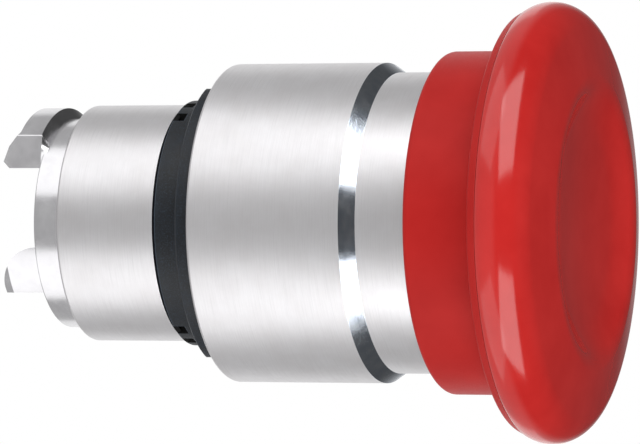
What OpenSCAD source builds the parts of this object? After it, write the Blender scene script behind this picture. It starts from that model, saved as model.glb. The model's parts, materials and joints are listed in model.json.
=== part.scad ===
// Emergency stop button head: a push-pull mushroom button for a 22 mm panel hole.
// The button's axis is X and its front faces +X. The panel's front face is the plane X = 0,
// the body stands in front of it, and the shank and bayonet tangs go through it.
// Every part is drawn about a local Z axis and laid along X by on_axis(). In that local frame
// Z points to the front, X points up and Y points to the side.

/* [Mushroom button] */
// Largest diameter of the mushroom
head_d = 39.6; // [39:0.1:41]
// Outer diameter of the skirt behind the mushroom
skirt_d = 30.9; // [30.4:0.1:31.4]
// Length of the skirt from its rear rim to the back of the mushroom
skirt_l = 6.9; // [6.8:0.1:7.2]
// Radius of the rounded rim
rim_r = 3; // [2.8:0.1:3]
// Radius of the raised ring round the dish
crown_r = 12.9; // [12.5:0.1:13.2]
// Push travel from released to latched
travel = 4.3; // [3:0.1:4.3]

/* [Body] */
// Diameter of the body in front of the panel
body_d = 29; // [28.5:0.1:29.5]
// Length of the body up to its polished chamfer
body_l = 14.35; // [14.2:0.05:14.6]
// Length of the polished chamfer
chamfer_l = 1.25; // [1:0.05:1.4]
// Diameter of the neck that the skirt slides over
neck_d = 27.2; // [27:0.1:27.4]

/* [Shank] */
// Diameter of the shank behind the panel
shank_d = 21.6; // [21.4:0.1:22]
// Distance from the panel's front face to the shank's rear step
shank_l = 12.3; // [12:0.1:13]
// Diameter of the reduced collar behind the shank
collar_d = 19.2; // [18.8:0.1:19.4]
// Length of the collar
collar_l = 2.6; // [2.5:0.1:3]
// Length of the bayonet tangs behind the collar
tang_l = 3.8; // [3.6:0.1:4]

/* [Panel gasket] */
// Outer diameter of the gasket's flange
gasket_flange_d = 26.4; // [26:0.1:27]
// Distance across the flange's two flats
gasket_flats = 24.3; // [24:0.1:25]
// Thickness of the flange
gasket_t = 1.5; // [1.3:0.1:1.6]
// Outer diameter of the gasket's sleeve in the panel hole
gasket_sleeve_d = 22.4; // [22.2:0.1:22.5]
// Length of the sleeve behind the flange
gasket_sleeve_l = 3; // [2.5:0.1:4]

/* [Trip mechanism] */
// Distance of each strut pin from the button's axis
pivot_r = 9.6; // [9.5:0.05:9.6]
// Distance from a strut's pin to the middle of its nose
strut_l = 4.6; // [4.55:0.05:4.65]
// Width of a strut
strut_w = 6; // [5:0.5:6]
// Place of the strut pins along the axis
pivot_z = 9; // [8.9:0.05:9.1]

/* [Hidden] */
$fn = 96;
eps = 0.01;
// A cut runs this far past the face it opens
over = 1;
// Running clearance of a shaft in its bore, on the radius
run = 0.05;
// Clearance between fixed pieces that are slid together, on the radius
slip = 0.05;

// Places along the axis, from the rear to the front
z_collar = -shank_l - collar_l;
z_tang = z_collar - tang_l;
z_body = gasket_t;
z_chamfer = z_body + body_l;
z_neck = z_chamfer + chamfer_l;
z_mouth = 24.85;
z_floor = 3;
z_cage = z_floor + slip;
z_guide = 13.95;
z_guide_front = 23.6;
z_skirt = 22;
z_head = z_skirt + skirt_l;
z_rim = z_head + 2.6;
z_seam = z_head + 0.95;
z_face = z_head + 2.4;

// Radii inside the housing
rear_bore_r = 8.2;
floor_hole_r = 6.8;
cavity_r = 12.2;
gasket_seat_r = 10.3;
rear_shoulder_z = 0.6;
// Small chamfers on the shank and the mouth, and the rounded rear edge of the body
edge = 0.25;
body_edge_r = 0.35;

// Bayonet tangs: their ends are flat, at these heights above the axis
main_tang_r = 10.6;
main_tang_low = 5;
side_tang_r = collar_d / 2 - 0.1;
side_tang_high = -2.2;
side_tang_low = -6.35;
// The main tang's rear end, from its low corner upwards: [height above the axis, distance from the rear]
main_tang_rear = [[main_tang_low, 0.6], [5.6, 0], [7, 0.45], [8.3, 1.4]];
// The side tangs' rounded rear corner, and their rear chamfer as [radial depth, length]
side_tang_corner_r = 4;
side_tang_chamfer = [0.4, 0.9];
// The main tang's lip, which a locking ring grips from the front
z_lip = [z_tang + 1.4, z_tang + 3.6];
lip_flank_l = 0.6;
// The main tang's two flat sides: their direction from the top, and where they meet the lip
tang_flat_angle = 80;
tang_flat_high = 8;
// How far the flats run past the lip, and how far the trim beside the lip reaches into it
tang_flat_past = 0.1;
lip_trim = [0.15, 0.3];

// Gasket pockets: angles from the top, [depth, width, length], and distance behind the flange,
// which keeps the middle of the sleeve a full ring
notch_angles = [17, 31, 150, 163];
notch_size = [0.8, 1.3, 1];
notch_gap = gasket_sleeve_l / 2 + 0.1;

// Stem
journal_r = 5;
tail_r = 3;
spigot_r = 2;
stud_r = 2.48;
z_stem_shoulder = 27;
z_insert = 27.6;
z_stud = 30.9;
z_tail = -5.6;
z_spigot = -9.3;

// Trip collar and struts
trip_r = 6.3;
trip_angle = asin(travel / 2 / strut_l);
z_groove = pivot_z + travel / 2;
z_trip = [7.4, 13.4];
nose_r = 0.6;
hub_r = 1.15;
pin_r = 0.6;
pin_l = 8.4;
groove_bottom_r = 4.3;
groove_half = nose_r + 0.08;
groove_straight_r = 5.4;
groove_mouth_half = 1.36;
cage_r = [8.6, 12.1];
garter_r = 11.58;
garter_wire_r = 0.5;
z_collar_pin = 8.7;
collar_pin_r = 0.6;

// Front guide
hub_front_z = 23.2;
hub_rear_z = 13.5;
guide_hub_r = 7.4;
guide_wall_r = 10.7;
web_z = [17.5, 19.7];
seal_z = [20.8, 22.4];
seal_r = 6.6;
// The O-ring's place and its wire, and its groove as [bottom radius, width]
oring_z = 16.2;
oring_r = 0.54;
oring_groove = [11.05, 1.3];

// Return spring
spring_z = [20.2, 29.2];
spring_r = 9;
spring_wire_r = 0.45;
spring_turns = 4.5;
spring_dead_turns = 0.75;
spring_sides = 8;
spring_steps = 22;

// Retaining rings: [inner radius, outer radius, rear face, front face]
front_ring = [11.3, 12.7, 23.65, 24.3];
rear_ring = [7.3, 8.65, -5.35, -4.6];
ring_gap = 20;
ring_ear_r = 1.1;
ring_hole_r = 0.55;

// Actuator disc and its screw
disc_r = 7.3;
disc_z = [-9.8, -7.8];
disc_washer_t = 0.5;
screw_head_r = 2.6;
screw_head_l = 1.6;
screw_shaft_r = 1.05;
screw_end_z = -3.6;

// Points of an arc round centre c, from angle a to angle b
function arc(c, r, a, b, n = 10) =
    [for (i = [0:n]) c + r * [cos(a + (b - a) * i / n), sin(a + (b - a) * i / n)]];

// Angle from the top of strut i and its pin
function strut_turn(i) = 90 * i;

// Lays a part drawn about Z along X, with its own X pointing up
module on_axis() {
    rotate([180, -90, 0]) children();
}

module tube(r_out, r_in, z0, z1) {
    translate([0, 0, z0]) difference() {
        cylinder(r = r_out, h = z1 - z0);
        translate([0, 0, -over]) cylinder(r = r_in, h = z1 - z0 + 2 * over);
    }
}

module rod(r, z0, z1) {
    translate([0, 0, z0]) cylinder(r = r, h = z1 - z0);
}

// A sector of a ring, from angle a to angle b
module ring_sector(r_out, r_in, z0, z1, a, b) {
    rotate([0, 0, a]) rotate_extrude(angle = b - a)
        translate([r_in, z0]) square([r_out - r_in, z1 - z0]);
}

// A block across the whole part, from its outline of [height above the axis, place along it]
module side_block(outline) {
    translate([0, 2 * main_tang_r, 0]) rotate([90, 0, 0]) linear_extrude(4 * main_tang_r) polygon(outline);
}

// The space behind the collar that holds no tang
module tang_gaps() {
    far = 2 * main_tang_r;
    corner_at = [side_tang_high - side_tang_corner_r, z_tang + side_tang_corner_r];
    difference() {
        translate([-far, -far, z_tang - over]) cube([2 * far, 2 * far, tang_l + over]);
        side_block(concat(
            [[main_tang_low, z_collar + over]],
            [for (p = main_tang_rear) [p[0], z_tang + p[1]]],
            [[far, z_lip[0]], [far, z_collar + over]]
        ));
        side_block(concat(
            [[side_tang_low, z_collar + over], [side_tang_low, z_tang]],
            arc(corner_at, side_tang_corner_r, -90, 0, 12),
            [[side_tang_high, z_collar + over]]
        ));
    }
}

// Flat side of the main tang, which also ends its lip
module tang_flat() {
    far = 2 * main_tang_r;
    z_end = z_lip[1] + tang_flat_past;
    flat_r = main_tang_r * cos(tang_flat_angle - acos(tang_flat_high / main_tang_r));
    intersection() {
        translate([main_tang_low - over, 0, z_tang - over]) cube(2 * far);
        rotate([0, 0, tang_flat_angle])
            translate([flat_r, -far, z_tang - over]) cube([far, 2 * far, z_end - z_tang + over]);
    }
}

// Trims what is lower than height high down to radius r, from z0 to z1
module trim_low(high, r, z0, z1) {
    far = 2 * main_tang_r;
    intersection() {
        tube(far, r, z0, z1);
        translate([-far, -far, z0 - over]) cube([far + high, 2 * far, z1 - z0 + 2 * over]);
    }
}

// Chamfers the rear ends of the side tangs
module side_tang_ends() {
    far = 2 * main_tang_r;
    inner_r = side_tang_r - side_tang_chamfer[0];
    z_end = z_tang + side_tang_chamfer[1];
    intersection() {
        translate([-far, -far, z_tang - over]) cube([far, 2 * far, tang_l]);
        rotate_extrude() polygon([
            [inner_r, z_tang - over], [inner_r, z_tang], [side_tang_r, z_end],
            [far, z_end], [far, z_tang - over]
        ]);
    }
}

module housing() {
    color([0.74, 0.73, 0.74]) on_axis() difference() {
        rotate_extrude() polygon(concat(
            [
                [rear_bore_r, z_tang], [main_tang_r, z_tang], [main_tang_r, z_lip[1]],
                [collar_d / 2, z_lip[1] + lip_flank_l], [collar_d / 2, -shank_l],
                [shank_d / 2 - edge, -shank_l], [shank_d / 2, -shank_l + edge],
                [shank_d / 2, -gasket_sleeve_l], [gasket_seat_r, -gasket_sleeve_l],
                [gasket_seat_r, z_body]
            ],
            arc([body_d / 2 - body_edge_r, z_body + body_edge_r], body_edge_r, -90, 0, 4),
            [
                [body_d / 2, z_chamfer], [neck_d / 2, z_neck], [neck_d / 2, z_mouth - edge],
                [neck_d / 2 - edge, z_mouth], [cavity_r, z_mouth], [cavity_r, z_floor],
                [floor_hole_r, z_floor], [floor_hole_r, rear_shoulder_z],
                [rear_bore_r, rear_shoulder_z]
            ]
        ));
        rod(front_ring[1] + slip, front_ring[2] - slip, front_ring[3] + slip);
        rod(rear_ring[1] + slip, rear_ring[2] - slip, rear_ring[3] + slip);
        tang_gaps();
        for (side = [0, 1]) mirror([0, side, 0]) tang_flat();
        trim_low(tang_flat_high - lip_trim[1], collar_d / 2, z_lip[1] - lip_trim[0], z_collar + over);
        trim_low(0, side_tang_r, z_tang - over, z_collar);
        side_tang_ends();
    }
}

module panel_gasket() {
    sleeve_r = gasket_sleeve_d / 2;
    notch_at = [sleeve_r - notch_size[0], -notch_size[1] / 2, -notch_size[2] - notch_gap];
    color([0.13, 0.14, 0.15]) on_axis() difference() {
        union() {
            intersection() {
                tube(gasket_flange_d / 2, gasket_seat_r, 0, z_body);
                translate([-gasket_flats / 2, -gasket_flange_d, -over])
                    cube([gasket_flats, 2 * gasket_flange_d, z_body + 2 * over]);
            }
            tube(sleeve_r, gasket_seat_r, -gasket_sleeve_l, eps);
        }
        for (a = notch_angles, side = [-1, 1])
            rotate([0, 0, side * a]) translate(notch_at) cube(notch_size + [over, 0, 0]);
    }
}

module rear_guide() {
    pocket_r = 1.1;
    pocket_depth = 2.2;
    pocket_at_r = 5.4;
    color([0.1, 0.1, 0.11]) on_axis() difference() {
        rod(rear_bore_r - slip, rear_ring[3], rear_shoulder_z - slip);
        rod(tail_r + run, rear_ring[3] - over, rear_shoulder_z + over);
        // grease pockets in the front face
        for (a = [0:60:300])
            rotate([0, 0, a]) translate([pocket_at_r, 0, 0])
                rod(pocket_r, rear_shoulder_z - pocket_depth, rear_shoulder_z + over);
    }
}

// Internal retaining ring with two pierced ears beside its gap
module retaining_ring(size, turn) {
    ear_r = size[0] + 0.1;
    ear_angle = ring_gap / 2 + 6;
    rotate([0, 0, turn]) difference() {
        union() {
            ring_sector(size[1], size[0], size[2], size[3], ring_gap / 2, 360 - ring_gap / 2);
            for (side = [-1, 1])
                rotate([0, 0, side * ear_angle])
                    translate([ear_r, 0, size[2]]) cylinder(r = ring_ear_r, h = size[3] - size[2], $fn = 32);
        }
        for (side = [-1, 1])
            rotate([0, 0, side * ear_angle])
                translate([size[0], 0, size[2] - over])
                    cylinder(r = ring_hole_r, h = size[3] - size[2] + 2 * over, $fn = 32);
    }
}

module rear_circlip() {
    color([0.45, 0.45, 0.47]) on_axis() retaining_ring(rear_ring, 180);
}

module guide_circlip() {
    color([0.45, 0.45, 0.47]) on_axis() retaining_ring(front_ring, 45);
}

module trip_cage() {
    window_w = strut_w + 0.4;
    window_l = 5.2;
    groove_r = garter_r - garter_wire_r - slip;
    color([0.5, 0.5, 0.52]) on_axis() difference() {
        tube(cage_r[1], cage_r[0], z_cage, z_guide - slip);
        for (i = [0:3]) rotate([0, 0, strut_turn(i)]) {
            translate([0, -window_w / 2, pivot_z - window_l / 2])
                cube([cage_r[1] + over, window_w, window_l]);
            // radial slots for the pin's two ends, open to the garter groove
            translate([pivot_r, -pin_l / 2 - slip, pivot_z - pin_r - slip])
                cube([cage_r[1], pin_l + 2 * slip, 2 * (pin_r + slip)]);
            translate([pivot_r, 0, pivot_z]) rotate([90, 0, 0])
                cylinder(r = pin_r + slip, h = pin_l + 2 * slip, center = true, $fn = 32);
        }
        // groove for the garter spring
        tube(cage_r[1] + over, groove_r, pivot_z - garter_wire_r - slip, pivot_z + garter_wire_r + slip);
    }
}

module strut_pins() {
    color([0.62, 0.62, 0.64]) on_axis()
        for (i = [0:3]) rotate([0, 0, strut_turn(i)])
            translate([pivot_r, 0, pivot_z]) rotate([90, 0, 0])
                cylinder(r = pin_r, h = pin_l, center = true, $fn = 32);
}

// One strut, drawn from its pin inwards and tilted to the released position
module strut(i) {
    side = asin((hub_r - nose_r) / strut_l);
    // where the straight flanks meet the hub and the nose
    hub_end = hub_r * [sin(side), cos(side)];
    nose_end = nose_r * [sin(side), cos(side)];
    color([0.58, 0.57, 0.55]) on_axis() rotate([0, 0, strut_turn(i)])
        translate([pivot_r, 0, pivot_z]) rotate([0, trip_angle, 0]) rotate([90, 0, 0])
            difference() {
                translate([0, 0, -strut_w / 2]) linear_extrude(strut_w) union() {
                    circle(r = hub_r, $fn = 48);
                    translate([-strut_l, 0]) circle(r = nose_r, $fn = 32);
                    polygon([
                        [-hub_end[0], hub_end[1]], [-strut_l - nose_end[0], nose_end[1]],
                        [-strut_l - nose_end[0], -nose_end[1]], [-hub_end[0], -hub_end[1]]
                    ]);
                }
                translate([0, 0, -strut_w]) cylinder(r = pin_r + 0.03, h = 2 * strut_w, $fn = 32);
            }
}

module strut_top() { strut(0); }
module strut_near() { strut(1); }
module strut_bottom() { strut(2); }
module strut_far() { strut(3); }

module garter_spring() {
    color([0.66, 0.66, 0.68]) on_axis()
        rotate_extrude() translate([garter_r, pivot_z]) circle(r = garter_wire_r, $fn = 24);
}

module front_guide() {
    wall_r = cavity_r - slip;
    color([0.1, 0.1, 0.11]) on_axis() difference() {
        rotate_extrude() polygon([
            [journal_r + run, hub_rear_z], [guide_hub_r, hub_rear_z], [guide_hub_r, web_z[0]],
            [guide_wall_r, web_z[0]], [guide_wall_r, z_guide], [wall_r, z_guide],
            [wall_r, z_guide_front], [guide_wall_r, z_guide_front], [guide_wall_r, web_z[1]],
            [guide_hub_r, web_z[1]], [guide_hub_r, hub_front_z - 0.3],
            [guide_hub_r - 0.3, hub_front_z], [seal_r + slip, hub_front_z],
            [seal_r + slip, seal_z[0] - slip], [journal_r + run, seal_z[0] - slip]
        ]);
        // O-ring groove
        tube(cavity_r + over, oring_groove[0], oring_z - oring_groove[1] / 2, oring_z + oring_groove[1] / 2);
    }
}

module guide_oring() {
    color([0.08, 0.08, 0.08]) on_axis()
        rotate_extrude() translate([cavity_r - oring_r - 0.01, oring_z]) circle(r = oring_r, $fn = 32);
}

module stem_seal() {
    lip_r = journal_r + 0.03;
    color([0.07, 0.07, 0.07]) on_axis() rotate_extrude() polygon([
        [seal_r, seal_z[0]], [seal_r, seal_z[1]], [lip_r + 0.9, seal_z[1]], [lip_r + 0.55, seal_z[1] - 0.5],
        [lip_r + 0.2, seal_z[1]], [lip_r, seal_z[1] - 0.1], [lip_r + 0.25, seal_z[1] - 0.8],
        [lip_r, seal_z[0] + 0.35], [lip_r + 0.15, seal_z[0]]
    ]);
}

module spring_washer() {
    color([0.62, 0.62, 0.64]) on_axis()
        tube(guide_wall_r - 0.2, guide_hub_r + 0.2, web_z[1], spring_z[0]);
}

// Height of the coil at turn t, with closed end turns lying flat
function spring_height(t) =
    let (
        bottom = spring_z[0] + spring_wire_r,
        top = spring_z[1] - spring_wire_r,
        pitch = 2 * spring_wire_r,
        closed = spring_dead_turns * pitch,
        open_turns = spring_turns - 2 * spring_dead_turns
    )
    t < spring_dead_turns ? bottom + pitch * t
    : t > spring_turns - spring_dead_turns ? top - pitch * (spring_turns - t)
    : bottom + closed + (top - bottom - 2 * closed) * (t - spring_dead_turns) / open_turns;

module return_spring() {
    rings = floor(spring_turns * spring_steps);
    points = [
        for (k = [0:rings], j = [0:spring_sides - 1])
            let (turn = k / spring_steps, a = 360 * turn, b = 360 * j / spring_sides,
                 r = spring_r + spring_wire_r * cos(b))
            [r * cos(a), r * sin(a), spring_height(turn) + spring_wire_r * sin(b)]
    ];
    sides = [
        for (k = [0:rings - 1], j = [0:spring_sides - 1])
            let (n = (j + 1) % spring_sides, here = k * spring_sides, next = here + spring_sides)
            [here + j, here + n, next + n, next + j]
    ];
    first = [for (j = [spring_sides - 1:-1:0]) j];
    last = [for (j = [0:spring_sides - 1]) rings * spring_sides + j];
    color([0.66, 0.66, 0.68]) on_axis() polyhedron(points, concat(sides, [first, last]));
}

module stem() {
    color([0.68, 0.68, 0.7]) on_axis() difference() {
        rotate_extrude() polygon([
            [0, z_spigot], [spigot_r - 0.2, z_spigot], [spigot_r, z_spigot + 0.2], [spigot_r, z_tail],
            [tail_r, z_tail], [tail_r, z_trip[1]], [journal_r, z_trip[1]],
            [journal_r, z_stem_shoulder - 0.3], [journal_r - 0.3, z_stem_shoulder],
            [stud_r, z_stem_shoulder], [stud_r, z_stud - 0.4], [stud_r - 0.4, z_stud], [0, z_stud]
        ]);
        rod(screw_shaft_r + slip, z_spigot - over, screw_end_z + 0.5);
        translate([0, 0, z_collar_pin]) rotate([90, 0, 0])
            cylinder(r = collar_pin_r + 0.02, h = 20, center = true, $fn = 32);
    }
}

module trip_collar() {
    color([0.55, 0.54, 0.52]) on_axis() difference() {
        rotate_extrude() polygon([
            [tail_r + 0.02, z_trip[0]], [trip_r - 0.3, z_trip[0]], [trip_r, z_trip[0] + 0.3],
            [trip_r, z_groove - groove_mouth_half], [groove_straight_r, z_groove - groove_half],
            [groove_bottom_r, z_groove - groove_half], [groove_bottom_r, z_groove + groove_half],
            [groove_straight_r, z_groove + groove_half], [trip_r, z_groove + groove_mouth_half],
            [trip_r, z_trip[1]], [tail_r + 0.02, z_trip[1]]
        ]);
        translate([0, 0, z_collar_pin]) rotate([90, 0, 0])
            cylinder(r = collar_pin_r + 0.02, h = 20, center = true, $fn = 32);
    }
}

module collar_pin() {
    color([0.45, 0.45, 0.46]) on_axis() translate([0, 0, z_collar_pin]) rotate([90, 0, 0])
        difference() {
            cylinder(r = collar_pin_r, h = 2 * trip_r - 0.6, center = true, $fn = 32);
            cylinder(r = collar_pin_r - 0.25, h = 2 * trip_r + over, center = true, $fn = 32);
        }
}

module lock_washer() {
    color([0.62, 0.62, 0.64]) on_axis()
        ring_sector(4.3, stud_r + 0.12, z_stem_shoulder, z_insert, 4, 356);
}

module cap_insert() {
    collar_r = 3.8;
    waist_r = 3.55;
    waist_z = [z_insert + 1.2, z_insert + 1.9];
    z_front = z_face - 0.25;
    color([0.8, 0.62, 0.3]) on_axis() difference() {
        union() {
            rod(waist_r, z_insert, z_front);
            rod(collar_r, z_insert, waist_z[0]);
            rod(collar_r, waist_z[1], z_front);
        }
        rod(stud_r + 0.02, z_insert - over, z_front + over);
    }
}

module cap_core() {
    core_r = 14.05;
    boss_r = 5.6;
    insert_bore_r = 3.8;
    pocket_r = [10.4, 13.2];
    z_pocket = z_face - 1.3;
    half_rib = 8;
    color([0.16, 0.16, 0.17]) on_axis() difference() {
        union() {
            rod(boss_r, z_insert, z_face - slip);
            rod(core_r, spring_z[1], z_face - slip);
        }
        rod(insert_bore_r, z_insert - over, z_face + over);
        // lightening pockets that leave six ribs
        for (a = [0:60:300])
            rotate([0, 0, a])
                ring_sector(pocket_r[1], pocket_r[0], z_pocket, z_face + over, half_rib, 60 - half_rib);
    }
}

module cap_skirt() {
    bore_r = 14.1;
    lip_r = 17.25;
    rear_r = 0.5;
    corner_r = 0.6;
    corner_at = [head_d / 2 - 1.4, z_head + corner_r];
    color([0.74, 0.08, 0.07]) on_axis() rotate_extrude() polygon(concat(
        [[bore_r, z_skirt + 0.4]],
        arc([skirt_d / 2 - rear_r, z_skirt + rear_r], rear_r, -90, 0, 5),
        arc([skirt_d / 2 + corner_r, z_head - corner_r], corner_r, 180, 90, 5),
        arc(corner_at, corner_r, -90, -20, 6),
        [
            [corner_at[0] + corner_r + 0.3, z_seam - 0.05], [lip_r, z_seam - 0.05],
            [lip_r, z_face - 0.1], [bore_r, z_face - 0.1]
        ]
    ));
}

// The front shell: rounded rim, sloping face, raised ring and shallow dish
module mushroom_head() {
    rim_at = [head_d / 2 - rim_r, z_rim];
    seam_r = rim_at[0] + rim_r * cos(asin((z_seam - z_rim) / rim_r));
    crown_bend = 2.5;
    crown_at = [crown_r, z_face + 1.6];
    face_angle = 79;
    dish_angle = 32;
    bowl_angle = 8;
    bend = 7;
    bore_r = 17.3;
    lip = 0.25;
    crown_edge = crown_at + crown_bend * [-sin(dish_angle), cos(dish_angle)];
    bend_at = crown_edge + bend * [-sin(dish_angle), cos(dish_angle)];
    bowl_edge = bend_at + bend * [sin(bowl_angle), -cos(bowl_angle)];
    bowl_r = bowl_edge[0] / sin(bowl_angle);
    bowl_at = [0, bowl_edge[1] + bowl_r * cos(bowl_angle)];
    color([0.74, 0.08, 0.07]) on_axis() rotate_extrude() polygon(concat(
        arc([seam_r - lip, z_seam + lip], lip, -90, -16, 4),
        arc(rim_at, rim_r, -10, face_angle, 18),
        arc(crown_at, crown_bend, face_angle, 90 + dish_angle, 8),
        arc(bend_at, bend, -90 + dish_angle, -90 + bowl_angle, 6),
        arc(bowl_at, bowl_r, -90 + bowl_angle, -90, 8),
        [[0, z_face], [bore_r, z_face], [bore_r, z_seam]]
    ));
}

module actuator_disc() {
    boss_r = 3.6;
    plate_t = 1.4;
    ring_r = 5.4;
    ring_l = 1;
    hole_r = 0.6;
    hole_at_r = 4.5;
    color([0.12, 0.12, 0.13]) on_axis() difference() {
        union() {
            rod(disc_r, disc_z[1] - plate_t, disc_z[1]);
            rod(boss_r, disc_z[0], z_tail - slip);
            // raised pressing ring
            tube(disc_r, ring_r, disc_z[0], disc_z[0] + ring_l);
        }
        rod(spigot_r + 0.02, disc_z[0] - over, z_tail + over);
        for (a = [45:90:315]) rotate([0, 0, a])
            translate([hole_at_r, 0, disc_z[0] - over])
                cylinder(r = hole_r, h = disc_z[1] - disc_z[0] + 2 * over, $fn = 32);
    }
}

module disc_washer() {
    color([0.62, 0.62, 0.64]) on_axis()
        tube(3.1, screw_shaft_r + 0.15, disc_z[0] - disc_washer_t, disc_z[0]);
}

module disc_screw() {
    head_z = disc_z[0] - disc_washer_t;
    rear_z = head_z - screw_head_l;
    dome_r = 0.9;
    cross = [3, 0.56];
    cross_depth = 0.9;
    color([0.7, 0.7, 0.72]) on_axis() difference() {
        union() {
            rotate_extrude() polygon(concat(
                [[0, head_z], [screw_head_r, head_z]],
                arc([screw_head_r - dome_r, rear_z + dome_r], dome_r, 0, -90, 6),
                [[0, rear_z]]
            ));
            rod(screw_shaft_r, head_z - eps, screw_end_z);
        }
        // cross recess
        for (a = [0, 90]) rotate([0, 0, a])
            translate([-cross[0] / 2, -cross[1] / 2, rear_z - over])
                cube([cross[0], cross[1], over + cross_depth]);
    }
}

housing();
panel_gasket();
rear_guide();
rear_circlip();
trip_cage();
strut_pins();
strut_top();
strut_near();
strut_bottom();
strut_far();
garter_spring();
front_guide();
guide_oring();
guide_circlip();
stem_seal();
spring_washer();
return_spring();
stem();
trip_collar();
collar_pin();
lock_washer();
cap_insert();
cap_core();
cap_skirt();
mushroom_head();
actuator_disc();
disc_washer();
disc_screw();
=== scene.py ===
"""Looks of the emergency stop button head: its visible pieces, materials, stage, lights and camera."""

import json
import math

import bmesh
import bpy
import numpy
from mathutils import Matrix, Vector

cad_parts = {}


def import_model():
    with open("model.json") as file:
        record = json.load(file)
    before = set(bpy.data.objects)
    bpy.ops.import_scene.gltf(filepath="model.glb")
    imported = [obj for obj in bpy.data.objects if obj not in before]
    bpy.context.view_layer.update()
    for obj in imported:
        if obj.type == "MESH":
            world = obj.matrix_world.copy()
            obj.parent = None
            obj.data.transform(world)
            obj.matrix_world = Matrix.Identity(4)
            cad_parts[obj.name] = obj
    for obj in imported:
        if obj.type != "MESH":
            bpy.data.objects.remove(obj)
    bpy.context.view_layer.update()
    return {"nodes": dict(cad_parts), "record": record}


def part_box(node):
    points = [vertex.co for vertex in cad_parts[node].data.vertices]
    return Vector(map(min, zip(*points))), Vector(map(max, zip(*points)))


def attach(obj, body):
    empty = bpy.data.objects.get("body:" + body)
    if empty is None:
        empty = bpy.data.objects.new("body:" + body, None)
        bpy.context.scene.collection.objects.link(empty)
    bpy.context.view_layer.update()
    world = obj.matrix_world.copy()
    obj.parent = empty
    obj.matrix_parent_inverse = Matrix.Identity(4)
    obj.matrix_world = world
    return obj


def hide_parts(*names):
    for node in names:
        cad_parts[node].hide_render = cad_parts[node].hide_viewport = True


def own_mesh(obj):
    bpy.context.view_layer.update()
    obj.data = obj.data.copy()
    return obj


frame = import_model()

MM = 0.001
RING_STEPS = 240

# ---------------------------------------------------------------- sizes, in mm


def box_mm(node):
    """Lowest and highest corner of a CAD node, in mm."""
    low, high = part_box(node)
    return low / MM, high / MM


def mount_size(name, key):
    """A dimension of one of the part's mounts, in mm."""
    found = [m for m in frame["record"]["mounts"] if m["name"] == name]
    return found[0]["dims"][key]


HOUSING_LOW, HOUSING_HIGH = box_mm("housing")
GASKET_LOW, GASKET_HIGH = box_mm("panel_gasket")
HEAD_LOW, HEAD_HIGH = box_mm("mushroom_head")
SPRING_LOW, SPRING_HIGH = box_mm("return_spring")
GARTER_LOW, GARTER_HIGH = box_mm("garter_spring")

TANG_X = HOUSING_LOW.x
TANG_LENGTH = 3.8
COLLAR_X = TANG_X + TANG_LENGTH
COLLAR_LENGTH = 2.6
SHANK_X = COLLAR_X + COLLAR_LENGTH
MOUTH_X = HOUSING_HIGH.x
BODY_X = GASKET_HIGH.x
BODY_LENGTH = 14.35
CHAMFER_X = BODY_X + BODY_LENGTH
CHAMFER_LENGTH = 1.25
NECK_X = CHAMFER_X + CHAMFER_LENGTH
BODY_R = HOUSING_HIGH.y
NECK_R = 13.6
SHANK_R = mount_size("panel_shank", "r_mm")
COLLAR_R = 9.6
REAR_BORE_R = box_mm("rear_guide")[1].y + 0.05
SLEEVE_R = mount_size("panel_sleeve", "r_mm")
SLEEVE_X = GASKET_LOW.x
SEAT_R = 10.3
CAVITY_R = 12.2
CAVITY_FLOOR_X = 3.0
FLOOR_HOLE_R = 6.8
REAR_SHOULDER_X = 0.6

LIP_R = 10.6
LIP_REAR_X = TANG_X + 1.4
LIP_FRONT_X = TANG_X + 3.6
LIP_FLANK = 0.6
TANG_LOW = 5.0
TANG_FLAT_ANGLE = 80
TANG_FLAT_HIGH = 8.0
TANG_FLAT_PAST = 0.1
LIP_TRIM = 0.3
SIDE_TANG_R = COLLAR_R - 0.1
SIDE_TANG_HIGH = -2.2
SIDE_TANG_LOW = -6.35
SIDE_TANG_CORNER_R = 4.0
SIDE_TANG_CHAMFER = (0.9, 0.4)

FLANGE_R = GASKET_HIGH.y
FLAT_R = GASKET_HIGH.z
NOTCH_ANGLES = (17, 31, 150, 163)
NOTCH_WIDTH = 1.3
NOTCH_LENGTH = 1.0
NOTCH_DEPTH = 0.8
NOTCH_GAP = 0.1 - SLEEVE_X / 2

SKIRT_X = box_mm("cap_skirt")[0].x
SKIRT_R = 15.45
HEAD_BACK_X = SKIRT_X + 6.9
HEAD_R = HEAD_HIGH.y
RIM_R = 3.0
RIM_X = HEAD_BACK_X + 2.6
FACE_X = HEAD_BACK_X + 2.4
SEAM_X = HEAD_LOW.x
CROWN_R = 12.9

# ---------------------------------------------------------------- profiles


def arc(centre, radius, start, end, steps):
    """Points of an arc in the (x, r) plane. Angles are in degrees, 0 outwards and 90 towards the front."""
    points = []
    for i in range(steps + 1):
        angle = math.radians(start + (end - start) * i / steps)
        points.append((centre[0] + radius * math.sin(angle), centre[1] + radius * math.cos(angle)))
    return points


def rounded(corners, steps=5):
    """A closed profile from corners (x, r, fillet), with every fillet drawn as an arc."""
    points = []
    for i, (x, r, fillet) in enumerate(corners):
        here = Vector((x, r))
        back = Vector(corners[i - 1][:2]) - here
        ahead = Vector(corners[(i + 1) % len(corners)][:2]) - here
        if fillet == 0:
            points.append((x, r))
            continue
        half = back.angle(ahead) / 2
        reach = min(fillet / math.tan(half), 0.48 * back.length, 0.48 * ahead.length)
        radius = reach * math.tan(half)
        start = here + back.normalized() * reach
        end = here + ahead.normalized() * reach
        centre = here + (back.normalized() + ahead.normalized()).normalized() * (radius / math.sin(half))
        for k in range(steps + 1):
            chord = start.lerp(end, k / steps) - centre
            point = centre + chord.normalized() * radius
            points.append((point.x, point.y))
    return points


# ---------------------------------------------------------------- meshes


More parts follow.
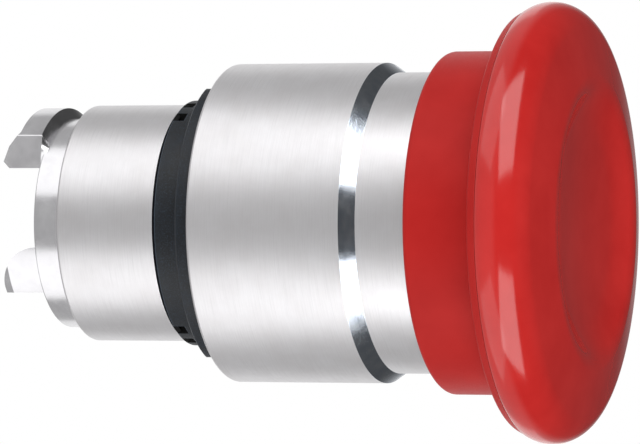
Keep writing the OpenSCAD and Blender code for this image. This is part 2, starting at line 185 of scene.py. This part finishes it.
def place(x, r, angle):
    """A point in metres, from its place along the axis and distance from it, both in mm.

    The angle is in degrees, from the top towards the camera's side.
    """
    a = math.radians(angle)
    return Vector((x * MM, -r * math.sin(a) * MM, r * math.cos(a) * MM))


def make_object(name, bm, materials, sharp_angle=35):
    """Turns a bmesh into a smooth-shaded object whose creases stay sharp."""
    bmesh.ops.recalc_face_normals(bm, faces=bm.faces)
    limit = math.radians(sharp_angle)
    for face in bm.faces:
        face.smooth = True
    for edge in bm.edges:
        edge.smooth = len(edge.link_faces) == 2 and edge.calc_face_angle(0) < limit
    mesh = bpy.data.meshes.new(name)
    bm.to_mesh(mesh)
    bm.free()
    obj = bpy.data.objects.new(name, mesh)
    bpy.context.scene.collection.objects.link(obj)
    for material in materials:
        mesh.materials.append(material)
    return obj


def ring_mesh(rings, closed, paint=None):
    """A bmesh through rings of points that all follow one profile.

    closed joins the last ring to the first. paint holds the material's index for each stretch.
    """
    bm = bmesh.new()
    rows = [[bm.verts.new(p) for p in ring] for ring in rings]
    pairs = len(rows) if closed else len(rows) - 1
    count = len(rows[0])
    for i in range(pairs):
        here, ahead = rows[i], rows[(i + 1) % len(rows)]
        for j in range(count):
            k = (j + 1) % count
            face = bm.faces.new((here[j], here[k], ahead[k], ahead[j]))
            if paint:
                face.material_index = paint[j]
    if not closed:
        bm.faces.new(rows[0])
        bm.faces.new(list(reversed(rows[-1])))
    return bm


def revolved(name, profile, materials, painter=None, steps=RING_STEPS):
    """A solid of revolution. painter(x, r) picks the material's index for each stretch of the profile."""
    paint = None
    if painter:
        ends = profile[1:] + profile[:1]
        paint = [painter((p[0] + q[0]) / 2, (p[1] + q[1]) / 2) for p, q in zip(profile, ends)]
    rings = [[place(x, r, 360 * i / steps) for x, r in profile] for i in range(steps)]
    bm = ring_mesh(rings, True, paint)
    bmesh.ops.remove_doubles(bm, verts=bm.verts, dist=0.0005 * MM)
    return make_object(name, bm, materials)


def carved(name, profile, first, last, shape, materials, step=0.25):
    """Part of a ring, from angle first to angle last. shape(x, r, angle) says where each point goes."""
    count = round((last - first) / step)
    rings = []
    for i in range(count + 1):
        angle = first + (last - first) * i / count
        rings.append([place(*shape(x, r, angle)) for x, r in profile])
    bm = ring_mesh(rings, False)
    bmesh.ops.remove_doubles(bm, verts=bm.verts, dist=0.002 * MM)
    return make_object(name, bm, materials)


def coil(name, centre_of, wire_r, count, materials, closed=False, sides=12):
    """Round wire of radius wire_r that follows centre_of(t) for t from 0 to 1."""
    rings = []
    for i in range(count + (0 if closed else 1)):
        here, ahead = centre_of(i / count), centre_of((i + 0.01) / count)
        along = (ahead - here).normalized()
        side = along.cross(Vector((1, 0, 0)))
        if side.length < 0.1:
            side = along.cross(Vector((0, 0, 1)))
        side.normalize()
        up = side.cross(along)
        ring = []
        for k in range(sides):
            a = 2 * math.pi * k / sides
            ring.append((here + wire_r * (math.cos(a) * side + math.sin(a) * up)) * MM)
        rings.append(ring)
    return make_object(name, ring_mesh(rings, closed), materials, sharp_angle=60)


# ---------------------------------------------------------------- materials


class Shader:
    """A material built from a few kinds of node."""

    def __init__(self, name):
        self.material = bpy.data.materials.new(name)
        self.material.use_nodes = True
        self.tree = self.material.node_tree
        self.surface = self.tree.nodes["Principled BSDF"]
        self.where = self.tree.nodes.new("ShaderNodeTexCoord").outputs["Object"]

    def set(self, **values):
        """Sets sockets of the surface shader by name, with spaces written as underscores."""
        for key, value in values.items():
            socket = self.surface.inputs[key.replace("_", " ")]
            if isinstance(value, bpy.types.NodeSocket):
                self.tree.links.new(value, socket)
            else:
                socket.default_value = value

    def node(self, kind, links=(), **attributes):
        node = self.tree.nodes.new(kind)
        for key, value in attributes.items():
            setattr(node, key, value)
        for socket, value in dict(links).items():
            if isinstance(value, bpy.types.NodeSocket):
                self.tree.links.new(value, node.inputs[socket])
            else:
                node.inputs[socket].default_value = value
        return node

    def noise(self, size, detail=3.0, roughness=0.55, stretch=(1, 1, 1)):
        """Noise with grains of about size mm, longer where stretch is above 1."""
        scale = [1 / (size * MM * s) for s in stretch]
        mapping = self.node("ShaderNodeMapping", {"Vector": self.where, "Scale": scale})
        links = {"Vector": mapping.outputs[0], "Scale": 1.0, "Detail": detail, "Roughness": roughness}
        return self.node("ShaderNodeTexNoise", links).outputs["Fac"]

    def remap(self, value, low, high, to_low, to_high):
        links = {"Value": value, "From Min": low, "From Max": high, "To Min": to_low, "To Max": to_high}
        return self.node("ShaderNodeMapRange", links, clamp=True).outputs["Result"]

    def mix(self, factor, a, b):
        """Mixes two colours."""
        node = self.node("ShaderNodeMix", data_type="RGBA")
        for socket, value in ((node.inputs[0], factor), (node.inputs[6], a), (node.inputs[7], b)):
            if isinstance(value, bpy.types.NodeSocket):
                self.tree.links.new(value, socket)
            else:
                socket.default_value = value
        return node.outputs[2]

    def math(self, operation, a, b=0.0):
        return self.node("ShaderNodeMath", {0: a, 1: b}, operation=operation).outputs[0]

    def edges(self, radius):
        """1 on edges sharper than radius mm, 0 on flat places. It masks the painted edge highlights."""
        bevel = self.node("ShaderNodeBevel", {"Radius": radius * MM}, samples=6)
        flat = self.node("ShaderNodeNewGeometry").outputs["Normal"]
        links = {0: bevel.outputs[0], 1: flat}
        dot = self.node("ShaderNodeVectorMath", links, operation="DOT_PRODUCT").outputs["Value"]
        return self.remap(dot, 0.97, 0.80, 0.0, 1.0)

    def bump(self, *layers):
        """Stacks bump layers of (height, strength, depth in mm) on the surface."""
        normal = None
        for height, strength, depth in layers:
            links = {"Height": height, "Strength": strength, "Distance": depth * MM}
            if normal:
                links["Normal"] = normal
            normal = self.node("ShaderNodeBump", links).outputs[0]
        self.set(Normal=normal)


def grey(value, tint=0.0):
    """A grey with a slight blue tint."""
    return (value * (1 - tint), value, value * (1 + tint), 1.0)


def satin_chrome():
    """Satin chrome plate, with the fine turned grain of the metal under it."""
    s = Shader("satin_chrome")
    grain = s.noise(0.05, 4, 0.6, (1, 60, 60))
    cloud = s.noise(3.0, 3, 0.6)
    pits = s.noise(0.12, 2, 0.5)
    cloudy = s.mix(s.remap(cloud, 0.3, 0.7, 0, 1), (0.69, 0.675, 0.685, 1), (0.74, 0.73, 0.745, 1))
    colour = s.mix(s.remap(grain, 0.45, 0.8, 0, 0.6), cloudy, (0.60, 0.59, 0.60, 1))
    # Lighter colour on sharp edges: a painted highlight standing in for the glint of a rounded edge, with
    # some wear.
    edge_wear_and_highlight = s.mix(s.edges(0.15), colour, (0.86, 0.86, 0.87, 1))
    rough = s.remap(grain, 0.25, 0.75, 0.30, 0.42)
    s.set(Base_Color=edge_wear_and_highlight, Metallic=1.0, Roughness=rough, Anisotropic=0.45)
    tangent = s.node("ShaderNodeTangent", direction_type="RADIAL", axis="X")
    s.set(Tangent=tangent.outputs[0])
    s.bump((grain, 0.5, 0.005), (pits, 0.3, 0.005))
    return s.material


def polished_chrome():
    """Bright chrome, with faint polishing lines and a haze of handling marks."""
    s = Shader("polished_chrome")
    lines = s.noise(0.04, 4, 0.65, (1, 40, 40))
    haze = s.noise(1.2, 4, 0.6)
    colour = s.mix(s.remap(haze, 0.35, 0.7, 0, 1), (0.70, 0.77, 0.88, 1), (0.80, 0.85, 0.92, 1))
    # Lighter colour on sharp edges: a painted highlight standing in for the glint of a rounded edge, with
    # some wear.
    edge_wear_and_highlight = s.mix(s.edges(0.1), colour, (0.92, 0.92, 0.93, 1))
    s.set(Base_Color=edge_wear_and_highlight, Metallic=1.0, Roughness=s.remap(haze, 0.3, 0.75, 0.12, 0.22))
    s.bump((lines, 0.6, 0.006))
    return s.material


def plated_skin():
    """Chrome over a cast skin: softer than the polished chamfer, with a slight ripple."""
    s = Shader("plated_skin")
    ripple = s.noise(0.7, 3, 0.5)
    specks = s.noise(0.09, 4, 0.65)
    haze = s.noise(1.6, 4, 0.6)
    colour = s.mix(s.remap(haze, 0.3, 0.7, 0, 1), (0.66, 0.65, 0.67, 1), (0.74, 0.735, 0.75, 1))
    # Lighter colour on sharp edges: a painted highlight standing in for the glint of a rounded edge, with
    # some wear.
    edge_wear_and_highlight = s.mix(s.edges(0.12), colour, (0.86, 0.86, 0.87, 1))
    s.set(Base_Color=edge_wear_and_highlight, Metallic=1.0, Roughness=s.remap(haze, 0.3, 0.7, 0.17, 0.26))
    s.bump((ripple, 0.12, 0.02), (specks, 0.2, 0.003))
    return s.material


def red_plastic(name, gloss, specular, depth):
    """Red moulded plastic.

    gloss is the roughness of its skin, specular the strength of its shine, and depth scales its colour
    down, which is painted shade where it is below 1.
    """
    s = Shader(name)
    cloud = s.noise(6.0, 3, 0.6)
    peel = s.noise(0.9, 2, 0.5)
    specks = s.noise(0.10, 3, 0.6)
    dark = tuple(depth * c for c in (0.50, 0.017, 0.015)) + (1,)
    light = tuple(depth * c for c in (0.57, 0.024, 0.021)) + (1,)
    colour = s.mix(s.remap(cloud, 0.3, 0.7, 0, 1), dark, light)
    # Lighter red on sharp edges: a painted highlight standing in for the glint of a rounded edge, with some
    # wear.
    edge_wear_and_highlight = s.mix(s.edges(0.12), colour, (0.62, 0.04, 0.036, 1))
    rough = s.remap(specks, 0.3, 0.7, gloss * 0.85, gloss * 1.25)
    s.set(Base_Color=edge_wear_and_highlight, Roughness=rough, IOR=1.5, Specular_IOR_Level=specular)
    s.bump((peel, 0.10, 0.02), (specks, 0.12, 0.004))
    return s.material


def black_rubber():
    """Moulded rubber: dark slate, dull, with a fine speckle."""
    s = Shader("black_rubber")
    speckle = s.noise(0.10, 3, 0.7)
    bloom = s.noise(2.0, 3, 0.6)
    colour = s.mix(s.remap(speckle, 0.5, 0.72, 0, 1), (0.001, 0.002, 0.004, 1), (0.022, 0.036, 0.056, 1))
    dusty = s.mix(s.remap(bloom, 0.5, 0.8, 0, 0.35), colour, (0.014, 0.024, 0.038, 1))
    # Lighter colour on sharp edges: a painted highlight standing in for the glint of a rounded edge, with
    # some wear.
    edge_wear_and_highlight = s.mix(s.edges(0.15), dusty, (0.035, 0.05, 0.07, 1))
    s.set(Base_Color=edge_wear_and_highlight, Roughness=s.remap(bloom, 0.3, 0.7, 0.42, 0.55), Specular_IOR_Level=0.4)
    s.bump((speckle, 0.9, 0.02))
    return s.material


def dull_plastic(name, dark, light, roughness, grain=0.2):
    """Plain engineering plastic between two shades, with a moulded or turned grain."""
    s = Shader(name)
    texture = s.noise(grain, 4, 0.6)
    cloud = s.noise(3.0, 3, 0.5)
    colour = s.mix(s.remap(cloud, 0.3, 0.7, 0, 1), dark, light)
    # Lighter colour on sharp edges: a painted highlight standing in for the glint of a rounded edge, with
    # some wear.
    edge_wear_and_highlight = s.mix(s.edges(0.12), colour, tuple(min(1, 1.6 * c) for c in light[:3]) + (1,))
    s.set(Base_Color=edge_wear_and_highlight, Roughness=s.remap(texture, 0.3, 0.7, roughness - 0.08, roughness + 0.1))
    s.bump((texture, 0.3, 0.01))
    return s.material


def metal(name, dark, light, rough, grain=0.06, stretch=(1, 40, 40), stain=None):
    """Bare or plated metal with a grain, a patchy tone and edges made brighter by a painted highlight and
    wear.
    """
    s = Shader(name)
    lines = s.noise(grain, 4, 0.6, stretch)
    cloud = s.noise(1.8, 4, 0.6)
    colour = s.mix(s.remap(cloud, 0.3, 0.7, 0, 1), dark, light)
    if stain:
        colour = s.mix(s.remap(s.noise(4.0, 3, 0.6), 0.5, 0.75, 0, 0.5), colour, stain)
    # Lighter colour on sharp edges: a painted highlight standing in for the glint of a rounded edge, with
    # some wear.
    edge_wear_and_highlight = s.mix(s.edges(0.1), colour, tuple(min(1, 1.15 * c) for c in light[:3]) + (1,))
    s.set(Base_Color=edge_wear_and_highlight, Metallic=1.0, Roughness=s.remap(lines, 0.3, 0.7, rough * 0.8, rough * 1.25))
    s.bump((lines, 0.3, 0.005))
    return s.material


def cast_zinc():
    """As-cast zinc alloy: grey, with a grainy skin."""
    s = Shader("cast_zinc")
    skin = s.noise(0.18, 5, 0.65)
    cloud = s.noise(2.5, 3, 0.6)
    colour = s.mix(s.remap(cloud, 0.3, 0.7, 0, 1), grey(0.36, 0.03), grey(0.48, 0.02))
    # Lighter colour on sharp edges: a painted highlight standing in for the glint of a rounded edge, with
    # some wear.
    edge_wear_and_highlight = s.mix(s.edges(0.15), colour, grey(0.65))
    s.set(Base_Color=edge_wear_and_highlight, Metallic=0.9, Roughness=s.remap(skin, 0.3, 0.7, 0.42, 0.6))
    s.bump((skin, 0.5, 0.015))
    return s.material


SATIN = satin_chrome()
POLISHED = polished_chrome()
PLATED = plated_skin()
RED_GLOSS = red_plastic("red_gloss", 0.14, 0.55, 1.0)
# The skirt is the head's red darkened to 0.80, as painted shade.
RED_SKIRT = red_plastic("red_skirt", 0.42, 0.10, 0.80)
RUBBER = black_rubber()
# Near-black for the floors and walls of the gasket's pockets: painted shade for the dark inside of these
# shallow recesses.
POCKET_PAINTED_SHADE = dull_plastic("pocket_painted_shade", grey(0.0005), grey(0.002, 0.1), 0.8, 0.1)
ACETAL = dull_plastic("black_acetal", grey(0.012), grey(0.022), 0.42)
NYLON = dull_plastic("grey_nylon", grey(0.022, 0.03), grey(0.036, 0.03), 0.5, 0.12)
ZINC_CAST = cast_zinc()
BRIGHT_STEEL = metal("bright_steel", grey(0.55, 0.01), grey(0.66, 0.01), 0.24)
HARD_STEEL = metal(
    "hardened_steel", (0.36, 0.34, 0.31, 1), (0.47, 0.45, 0.41, 1), 0.34, stain=(0.20, 0.21, 0.26, 1)
)
SPRING_STEEL = metal("spring_steel", grey(0.38, 0.03), grey(0.5, 0.02), 0.3, 0.05, (1, 6, 6))
ZINC_PLATE = metal(
    "zinc_plate", (0.55, 0.57, 0.60, 1), (0.68, 0.69, 0.70, 1), 0.28, 0.08, (1, 1, 1), (0.62, 0.60, 0.50, 1)
)
BRASS = metal("brass", (0.62, 0.42, 0.16, 1), (0.72, 0.52, 0.24, 1), 0.26)

# ---------------------------------------------------------------- the base's visible pieces


def show(obj, body, slot, *nodes):
    """Hangs a visible piece on its CAD body in place of the CAD nodes it stands for."""
    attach(obj, body)
    if nodes:
        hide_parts(*nodes)
    return obj


def housing():
    """The chromed body: satin on the cylinders, polished on the chamfer, a plated skin on the rear collar.
    """
    corners = [
        (COLLAR_X, REAR_BORE_R, 0.1),
        (COLLAR_X, COLLAR_R, 0.15),
        (SHANK_X, COLLAR_R, 0.08),
        (SHANK_X, SHANK_R, 0.3),
        (SLEEVE_X, SHANK_R, 0),
        (SLEEVE_X, SEAT_R, 0),
        (BODY_X, SEAT_R, 0),
        (BODY_X, BODY_R, 0.35),
        (CHAMFER_X, BODY_R, 0.05),
        (NECK_X, NECK_R, 0.05),
        (MOUTH_X, NECK_R, 0.3),
        (MOUTH_X, CAVITY_R, 0),
        (CAVITY_FLOOR_X, CAVITY_R, 0),
        (CAVITY_FLOOR_X, FLOOR_HOLE_R, 0),
        (REAR_SHOULDER_X, FLOOR_HOLE_R, 0),
        (REAR_SHOULDER_X, REAR_BORE_R, 0),
    ]

    def painter(x, r):
        on_chamfer = CHAMFER_X - 0.02 < x < NECK_X + 0.02 and r > NECK_R - 0.1
        if on_chamfer:
            return 1
        return 2 if x < SHANK_X + 0.02 else 0

    obj = revolved("housing_body", rounded(corners), [SATIN, POLISHED, PLATED], painter)
    return show(obj, "head_base", "satin_chrome", "housing")


def tang_profile(outer):
    """Profile of a tang: points up its rear end, then outer, a list of (x, r, fillet)."""
    rear_points = 8
    rise = (outer[0][1] - REAR_BORE_R) / rear_points
    rear = [(TANG_X, REAR_BORE_R + rise * i, 0) for i in range(rear_points)]
    return rounded(rear + outer + [(outer[-1][0], REAR_BORE_R, 0)], 3)


def main_tang():
    """The lipped tang at the top: flat sides, flat ends, and a rear end that is longer at its sides."""
    foot_x = LIP_FRONT_X + LIP_FLANK
    foot_r = COLLAR_R - 0.02
    profile = tang_profile([
        (TANG_X, LIP_R, 0), (LIP_FRONT_X, LIP_R, 0.08), (foot_x, foot_r, 0), (foot_x + 0.1, foot_r, 0),
    ])
    flat_starts = math.degrees(math.acos(TANG_FLAT_HIGH / LIP_R))
    flat_r = LIP_R * math.cos(math.radians(TANG_FLAT_ANGLE - flat_starts))
    rear_heights = (TANG_LOW, TANG_LOW + 0.6, TANG_LOW + 2, TANG_FLAT_HIGH + 0.3)
    rear_places = (TANG_X + 0.6, TANG_X, TANG_X + 0.45, LIP_REAR_X)

    def shape(x, r, angle):
        turn = math.radians(abs(angle))
        if x < LIP_FRONT_X + TANG_FLAT_PAST:
            r = min(r, flat_r / max(0.1, math.cos(turn - math.radians(TANG_FLAT_ANGLE))))
        elif r * math.cos(turn) < TANG_FLAT_HIGH - LIP_TRIM:
            r = min(r, COLLAR_R)
        turn = min(turn, math.acos(TANG_LOW / r))
        rear = float(numpy.interp(r * math.cos(turn), rear_heights, rear_places))
        return max(x, rear), r, math.copysign(math.degrees(turn), angle)

    end = math.degrees(math.acos(TANG_LOW / LIP_R))
    return carved("tang_top", profile, -end, end, shape, [PLATED])


def side_tang(name, side):
    """A side tang: a rounded upper rear corner, a chamfered rear end, flat ends. side is 1 or -1."""
    chamfer_l, chamfer_depth = SIDE_TANG_CHAMFER
    profile = tang_profile([
        (TANG_X, SIDE_TANG_R - chamfer_depth, 0.06), (TANG_X + chamfer_l, SIDE_TANG_R, 0.06),
        (COLLAR_X + 0.1, SIDE_TANG_R, 0),
    ])

    def shape(x, r, angle):
        turn = math.radians(abs(angle))
        turn = min(max(turn, math.acos(SIDE_TANG_HIGH / r)), math.acos(SIDE_TANG_LOW / r))
        above = max(0.0, r * math.cos(turn) - SIDE_TANG_HIGH + SIDE_TANG_CORNER_R)
        across = math.sqrt(max(0.0, SIDE_TANG_CORNER_R ** 2 - above ** 2))
        rear = TANG_X + SIDE_TANG_CORNER_R - across
        return max(x, rear), r, math.copysign(math.degrees(turn), angle)

    first = math.degrees(math.acos(SIDE_TANG_HIGH / SIDE_TANG_R))
    last = math.degrees(math.acos(SIDE_TANG_LOW / REAR_BORE_R))
    ends = (first, last) if side > 0 else (-last, -first)
    return carved(name, profile, *ends, shape, [PLATED])


def tangs():
    """The three bayonet tangs."""
    for obj in (main_tang(), side_tang("tang_near", 1), side_tang("tang_far", -1)):
        show(obj, "head_base", "satin_chrome", "housing")


def gasket():
    """The rubber gasket: a flange with two flats, and a sleeve with small pockets behind it."""
    angles = [360 * i / RING_STEPS for i in range(RING_STEPS)]
    half = math.degrees(NOTCH_WIDTH / 2 / SLEEVE_R)
    notches = [a for base in NOTCH_ANGLES for a in (base, 360 - base)]
    for a in notches:
        angles += [a - half - 0.15, a - half, a + half, a + half + 0.15]
    angles = sorted(set(round(a, 3) for a in angles))

    def in_notch(angle):
        return any(abs(angle - a) <= half + 0.001 for a in notches)

    def flange_r(radius, angle):
        return min(radius, FLAT_R / max(0.001, abs(math.cos(math.radians(angle)))))

    edge_r = 0.3
    bevel = 0.15
    pocket_front = -NOTCH_GAP
    pocket_rear = -NOTCH_GAP - NOTCH_LENGTH
    rings = []
    for angle in angles:
        floor_r = SLEEVE_R - (NOTCH_DEPTH if in_notch(angle) else 0)
        outline = [(SLEEVE_X, SEAT_R)]
        outline += arc((SLEEVE_X + edge_r, SLEEVE_R - edge_r), edge_r, 180, 90, 4)
        outline += [
            (pocket_rear - 0.02, SLEEVE_R), (pocket_rear, floor_r),
            (pocket_front, floor_r), (pocket_front + 0.02, SLEEVE_R),
            (0.0, SLEEVE_R), (0.0, flange_r(FLANGE_R - bevel, angle)), (bevel, flange_r(FLANGE_R, angle)),
            (BODY_X, flange_r(FLANGE_R, angle)), (BODY_X, SEAT_R),
        ]
        rings.append([place(x, r, angle) for x, r in outline])
    bm = ring_mesh(rings, True)
    # The pockets' faces get the near-black painted shade.
    for face in bm.faces:
        middle = face.calc_center_median() / MM
        in_sleeve = pocket_rear - 0.03 < middle.x < pocket_front + 0.03
        if in_sleeve and SEAT_R + 0.02 < math.hypot(middle.y, middle.z) < SLEEVE_R - 0.1:
            face.material_index = 1
    obj = make_object("gasket", bm, [RUBBER, POCKET_PAINTED_SHADE], 30)
    return show(obj, "head_base", "black_rubber", "panel_gasket")


# ---------------------------------------------------------------- the button's visible pieces


def skirt():
    """The skirt and the back of the mushroom, up to the seam."""
    bore_r, lip_r = 14.1, 17.25
    rear_r, corner_r = 0.5, 0.6
    corner = (HEAD_BACK_X + corner_r, HEAD_R - 1.4)
    seam_x = SEAM_X - 0.02
    front_x = FACE_X - 0.1
    profile = [(SKIRT_X + 0.4, bore_r)]
    profile += arc((SKIRT_X + rear_r, SKIRT_R - rear_r), rear_r, -90, 0, 6)
    profile += arc((HEAD_BACK_X - corner_r, SKIRT_R + corner_r), corner_r, 180, 90, 6)
    profile += arc(corner, corner_r, -90, -20, 8)
    profile += [(seam_x, corner[1] + 0.88), (seam_x, lip_r), (front_x, lip_r), (front_x, bore_r)]

    obj = revolved("cap_back", profile, [RED_SKIRT])
    return show(obj, "button", "red_plastic", "cap_skirt")


def mushroom():
    """The front shell: rounded rim, sloping face, raised ring and shallow dish."""
    rim = (RIM_X, HEAD_R - RIM_R)
    seam_r = rim[1] + math.sqrt(RIM_R ** 2 - (SEAM_X - RIM_X) ** 2)
    bend, crown_bend = 7.0, 2.5
    face_angle, dish_angle, bowl_angle = 79, 32, 8
    crown = Vector((FACE_X + 1.6, CROWN_R))
    slope = Vector((math.cos(math.radians(dish_angle)), -math.sin(math.radians(dish_angle))))
    bend_at = crown + slope * (crown_bend + bend)
    tilt = Vector((-math.cos(math.radians(bowl_angle)), math.sin(math.radians(bowl_angle))))
    bowl_edge = bend_at + tilt * bend
    bowl_r = bowl_edge.y / math.sin(math.radians(bowl_angle))
    bowl_at = (bowl_edge.x + bowl_r * math.cos(math.radians(bowl_angle)), 0.0)
    bore_r, lip = 17.3, 0.12
    profile = arc((SEAM_X + lip, seam_r - 0.1), lip, -90, -30, 5)
    profile += arc(rim, RIM_R, -30, face_angle, 32)
    profile += arc(crown, crown_bend, face_angle, 90 + dish_angle, 14)
    profile += arc(bend_at, bend, -90 + dish_angle, -90 + bowl_angle, 8)
    profile += arc(bowl_at, bowl_r, -90 + bowl_angle, -90.0, 16)[1:-1]
    profile += [(bowl_at[0] - bowl_r, 0.001), (FACE_X, 0.001), (FACE_X, bore_r), (SEAM_X, bore_r)]
    obj = revolved("mushroom", profile, [RED_GLOSS])
    return show(obj, "button", "red_plastic", "mushroom_head")


# ---------------------------------------------------------------- springs


def return_spring():
    """The coil spring under the cap, which shortens as the button goes in."""
    wire_r = 0.45
    mean_r = SPRING_HIGH.z - wire_r
    turns, dead = 4.5, 0.75
    low, high = SPRING_LOW.x + wire_r, SPRING_HIGH.x - wire_r
    closed = dead * 2 * wire_r

    def centre(t):
        turn = t * turns
        if turn < dead:
            x = low + 2 * wire_r * turn
        elif turn > turns - dead:
            x = high - 2 * wire_r * (turns - turn)
        else:
            x = low + closed + (high - low - 2 * closed) * (turn - dead) / (turns - 2 * dead)
        a = 2 * math.pi * turn
        return Vector((x, -mean_r * math.sin(a), mean_r * math.cos(a)))

    obj = coil("return_spring_coil", centre, wire_r, 400, [SPRING_STEEL])
    show(obj, "head_base", "spring_steel", "return_spring")
    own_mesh(obj)
    return obj


def garter_spring():
    """The fine coil joined into a loop round the cage."""
    wire_r = 0.1
    tube_r = (GARTER_HIGH.x - GARTER_LOW.x) / 2 - wire_r
    loop_r = GARTER_HIGH.z - tube_r - wire_r
    middle = (GARTER_HIGH.x + GARTER_LOW.x) / 2
    turns = 240

    def centre(t):
        a, b = 2 * math.pi * t, 2 * math.pi * turns * t
        r = loop_r + tube_r * math.cos(b)
        return Vector((middle + tube_r * math.sin(b), -r * math.sin(a), r * math.cos(a)))

    obj = coil("garter_coil", centre, wire_r, turns * 12, [SPRING_STEEL], closed=True, sides=5)
    return show(obj, "head_base", "spring_steel", "garter_spring")


housing()
tangs()
gasket()
skirt()
mushroom()
return_spring()
garter_spring()

# ---------------------------------------------------------------- finishes of the pieces shown as CAD

FINISHES = {
    "black_acetal": ACETAL,
    "grey_nylon": NYLON,
    "black_rubber": RUBBER,
    "cast_zinc": ZINC_CAST,
    "bright_steel": BRIGHT_STEEL,
    "hardened_steel": HARD_STEEL,
    "spring_steel": SPRING_STEEL,
    "zinc_plated_steel": ZINC_PLATE,
    "brass": BRASS,
}
for part in frame["record"]["subparts"]:
    node = frame["nodes"][part["node"]]
    if not node.hide_render:
        node.data.materials.clear()
        node.data.materials.append(FINISHES[part["material_slot"]])

# ---------------------------------------------------------------- camera

VIEW_AZIMUTH = math.radians(18.8)
VIEW_DISTANCE = 0.5
PIXELS_PER_MM = 11.01
IMAGE_WIDTH = 640
SENSOR_MM = 36.0
AIM = Vector((9.27 * MM, 0, 0.09 * MM))
TO_CAMERA = Vector((math.sin(VIEW_AZIMUTH), -math.cos(VIEW_AZIMUTH), 0))


def look_at(obj, target):
    obj.rotation_euler = (target - obj.location).to_track_quat("-Z", "Y").to_euler()


def camera():
    data = bpy.data.cameras.new("camera")
    data.sensor_width = SENSOR_MM
    data.lens = PIXELS_PER_MM * VIEW_DISTANCE / MM * SENSOR_MM / IMAGE_WIDTH
    data.clip_end = 20
    obj = bpy.data.objects.new("camera", data)
    obj.location = AIM + TO_CAMERA * VIEW_DISTANCE
    look_at(obj, AIM)
    bpy.context.scene.collection.objects.link(obj)
    bpy.context.scene.camera = obj


# ---------------------------------------------------------------- lights and stage

LIGHT_DISTANCE = 0.62
LIGHT_ELEVATION = 49
KEY_AZIMUTH = 32
KEY_SIZE = (0.55, 0.60)
KEY_BRIGHTNESS = 3.1
FILL_AZIMUTH = -48
FILL_SIZE = (0.60, 0.50)
FILL_BRIGHTNESS = 0.95
WASH_AZIMUTH = 100
WASH_SIZE = (0.7, 0.7)
WASH_BRIGHTNESS = 0.85
ROOM_DARK = 0.07
ROOM_GREY = 0.5
FLOOR_R = 0.40
FLOOR_Z = -0.12


def softbox(name, elevation, azimuth, size, brightness):
    """A rectangular light that faces the part.

    Its angles are in degrees. The azimuth runs from the part's camera side towards its front.
    """
    data = bpy.data.lights.new(name, "AREA")
    data.shape = "RECTANGLE"
    data.size, data.size_y = size
    data.energy = brightness * math.pi * size[0] * size[1]
    up, turn = math.radians(elevation), math.radians(azimuth)
    obj = bpy.data.objects.new(name, data)
    direction = Vector((math.cos(up) * math.sin(turn), -math.cos(up) * math.cos(turn), math.sin(up)))
    obj.location = AIM + direction * LIGHT_DISTANCE
    look_at(obj, AIM)
    obj.visible_camera = False
    bpy.context.scene.collection.objects.link(obj)
    return obj


def world():
    """A room that is grey towards the part's rear and dark towards its front, with a white card behind.

    The camera itself sees plain white past the part.
    """
    world_data = bpy.data.worlds.new("studio")
    world_data.use_nodes = True
    tree = world_data.node_tree
    tree.nodes.clear()
    where = tree.nodes.new("ShaderNodeTexCoord").outputs["Generated"]

    def step(direction, low, high, dark, light):
        """Rises smoothly from dark to light as the direction looked in turns towards this one."""
        facing = tree.nodes.new("ShaderNodeVectorMath")
        facing.operation = "DOT_PRODUCT"
        facing.inputs[1].default_value = direction
        tree.links.new(where, facing.inputs[0])
        ramp = tree.nodes.new("ShaderNodeMapRange")
        ramp.interpolation_type = "SMOOTHSTEP"
        tree.links.new(facing.outputs["Value"], ramp.inputs["Value"])
        for key, value in (("From Min", low), ("From Max", high), ("To Min", dark), ("To Max", light)):
            ramp.inputs[key].default_value = value
        return ramp.outputs["Result"]

    def choose(operation, a, b):
        node = tree.nodes.new("ShaderNodeMath")
        node.operation = operation
        tree.links.new(a, node.inputs[0])
        tree.links.new(b, node.inputs[1])
        return node.outputs[0]

    def most(a, b):
        return choose("MAXIMUM", a, b)

    def least(a, b):
        return choose("MINIMUM", a, b)

    sides = step((-1, 0, 0), -0.05, 0.28, ROOM_DARK, ROOM_GREY)
    card = least(step((-1, 0, 0), 0.14, 0.26, 0.0, 1.0), step((0, 1, 0), 0.60, 0.74, 0.0, 1.0))
    seen = tree.nodes.new("ShaderNodeLightPath").outputs["Is Camera Ray"]
    background = tree.nodes.new("ShaderNodeBackground")
    background.inputs["Color"].default_value = (1, 1, 1, 1)
    tree.links.new(most(most(sides, card), seen), background.inputs["Strength"])
    output = tree.nodes.new("ShaderNodeOutputWorld")
    tree.links.new(background.outputs[0], output.inputs[0])
    bpy.context.scene.world = world_data


def floor():
    """A plain pale disc below the part, out of the main view. It doesn't block the lower light."""
    s = Shader("floor_paint")
    s.set(Base_Color=(0.9, 0.9, 0.9, 1), Roughness=0.8, Emission_Color=(1, 1, 1, 1), Emission_Strength=0.45)
    bm = bmesh.new()
    bmesh.ops.create_circle(bm, cap_ends=True, segments=96, radius=FLOOR_R)
    mesh = bpy.data.meshes.new("floor")
    bm.to_mesh(mesh)
    bm.free()
    obj = bpy.data.objects.new("floor", mesh)
    mesh.materials.append(s.material)
    obj.location = (AIM.x, 0, FLOOR_Z)
    bpy.context.scene.collection.objects.link(obj)
    obj.visible_glossy = False
    obj.visible_diffuse = False
    obj.visible_shadow = False


camera()
for side, word in ((1, "above"), (-1, "below")):
    softbox("key_" + word, side * LIGHT_ELEVATION, KEY_AZIMUTH, KEY_SIZE, KEY_BRIGHTNESS)
    softbox("fill_" + word, side * LIGHT_ELEVATION, FILL_AZIMUTH, FILL_SIZE, FILL_BRIGHTNESS)
softbox("front_wash", 0, WASH_AZIMUTH, WASH_SIZE, WASH_BRIGHTNESS).visible_glossy = False
world()
floor()
bpy.context.scene.view_settings.view_transform = "Standard"
